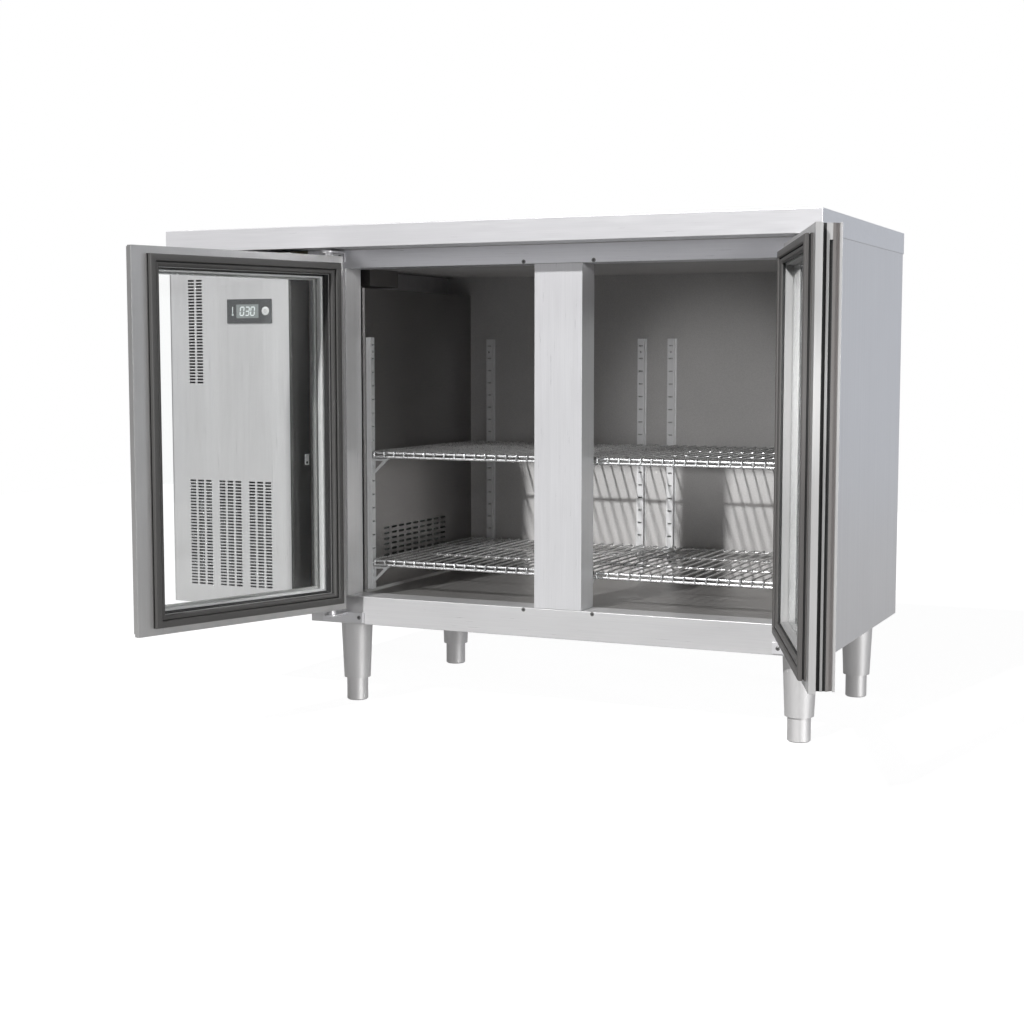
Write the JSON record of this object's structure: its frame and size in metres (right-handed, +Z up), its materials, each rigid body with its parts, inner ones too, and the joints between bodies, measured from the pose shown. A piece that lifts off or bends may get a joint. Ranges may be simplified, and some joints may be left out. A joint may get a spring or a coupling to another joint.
{
  "type": "undercounter refrigerator",
  "caption": "Stainless undercounter refrigerator with hinged glass doors, wire shelves, a worktop, a side machine compartment with vents and controller, and adjustable legs.",
  "frame": {"origin": "on the floor under the middle of the worktop", "axes": "+X to the right seen from the front, +Y to the back, +Z up"},
  "size_m": [1.3135, 0.9729, 0.85],
  "materials": {
    "stainless": "vertical brushed stainless",
    "liner": "satin stainless liner",
    "foam": "rigid polyurethane foam",
    "shelf_wire": "grey coated wire",
    "fins": "plain fins",
    "black_plastic": "matt moulded",
    "motor_paint": "semi-gloss black",
    "mount_rubber": "matt",
    "copper": "drawn copper tube",
    "controller_grey": "fine texture",
    "display_window": "dark window",
    "button_grey": "satin",
    "leg_steel": "turned satin",
    "foot_steel": "turned satin",
    "hinge_steel": "polished",
    "door_frame": "brushed, stainless look",
    "door_glass": "clear double glazing",
    "spacer": "rolled strip",
    "gasket": "matt dark grey"
  },
  "bodies": {
    "cabinet": {"worktop": "stainless", "right_side_panel": "stainless", "left_side_panel": "stainless", "base_panel": "stainless", "machine_back_cover": "stainless", "back_panel": "stainless", "top_rail": "stainless", "bottom_rail": "stainless", "front_stiles": "stainless", "mullion": "stainless", "partition": "stainless", "control_panel": "stainless", "machine_tray": "stainless", "liner_back": "liner", "liner_right": "liner", "liner_floor": "liner", "liner_ceiling": "liner", "evaporator_cover": "liner", "drip_tray": "liner", "pilasters": "liner", "shelf_clips": "liner", "insulation": "foam", "shelf_left_lower": "shelf_wire", "shelf_left_upper": "shelf_wire", "shelf_right_lower": "shelf_wire", "shelf_right_upper": "shelf_wire", "evaporator_coil": "fins", "condenser_coil": "fins", "condenser_shroud": "black_plastic", "electrical_box": "black_plastic", "power_inlet": "black_plastic", "evaporator_fan_motor": "motor_paint", "condenser_fan_motor": "motor_paint", "compressor": "motor_paint", "compressor_mounts": "mount_rubber", "refrigerant_pipes": "copper", "controller": "controller_grey", "controller_display": "display_window", "legs": "leg_steel", "hinge_brackets": "hinge_steel", "frame_screws": "hinge_steel"},
    "left_door": {"left_door_hinge_stile": "door_frame", "left_door_handle_stile": "door_frame", "left_door_rails": "door_frame", "left_door_glass": "door_glass", "left_door_spacer": "spacer", "left_door_gasket": "gasket"},
    "right_door": {"right_door_hinge_stile": "door_frame", "right_door_handle_stile": "door_frame", "right_door_rails": "door_frame", "right_door_glass": "door_glass", "right_door_spacer": "spacer", "right_door_gasket": "gasket"},
    "foot_front_left": {"foot_front_left": "foot_steel"},
    "foot_front_right": {"foot_front_right": "foot_steel"},
    "foot_back_left": {"foot_back_left": "foot_steel"},
    "foot_back_right": {"foot_back_right": "foot_steel"},
    "evaporator_fan": {"evaporator_fan": "black_plastic"},
    "condenser_fan": {"condenser_fan": "black_plastic"},
    "set_button": {"set_button": "button_grey"}
  },
  "joints": [
    {"name": "left_door_hinge", "type": "hinge", "parent": "cabinet", "child": "left_door", "pos_m": [-0.2795, -0.2716, 0.49], "axis": [0, 0, -1], "range_deg": [-109.5, 10.5]},
    {"name": "right_door_hinge", "type": "hinge", "parent": "cabinet", "child": "right_door", "pos_m": [0.5595, -0.2716, 0.49], "axis": [0, 0, 1], "range_deg": [-110.8, 9.2]},
    {"name": "foot_front_left_thread", "type": "slide", "parent": "cabinet", "child": "foot_front_left", "axis": [0, 0, -1], "range_m": [-0.02, 0.025]},
    {"name": "foot_front_right_thread", "type": "slide", "parent": "cabinet", "child": "foot_front_right", "axis": [0, 0, -1], "range_m": [-0.02, 0.025]},
    {"name": "foot_back_left_thread", "type": "slide", "parent": "cabinet", "child": "foot_back_left", "axis": [0, 0, -1], "range_m": [-0.02, 0.025]},
    {"name": "foot_back_right_thread", "type": "slide", "parent": "cabinet", "child": "foot_back_right", "axis": [0, 0, -1], "range_m": [-0.02, 0.025]},
    {"name": "evaporator_fan_spin", "type": "hinge", "parent": "cabinet", "child": "evaporator_fan", "pos_m": [-0.291, 0.0385, 0.668], "axis": [1, 0, 0], "continuous": true},
    {"name": "condenser_fan_spin", "type": "hinge", "parent": "cabinet", "child": "condenser_fan", "pos_m": [-0.4706, -0.163, 0.293], "axis": [0, -1, 0], "continuous": true},
    {"name": "set_button_press", "type": "slide", "parent": "cabinet", "child": "set_button", "axis": [0, 1, 0], "range_m": [0, 0.0015], "stiffness_N_per_m": 800, "springref_m": -0.001}
  ]
}
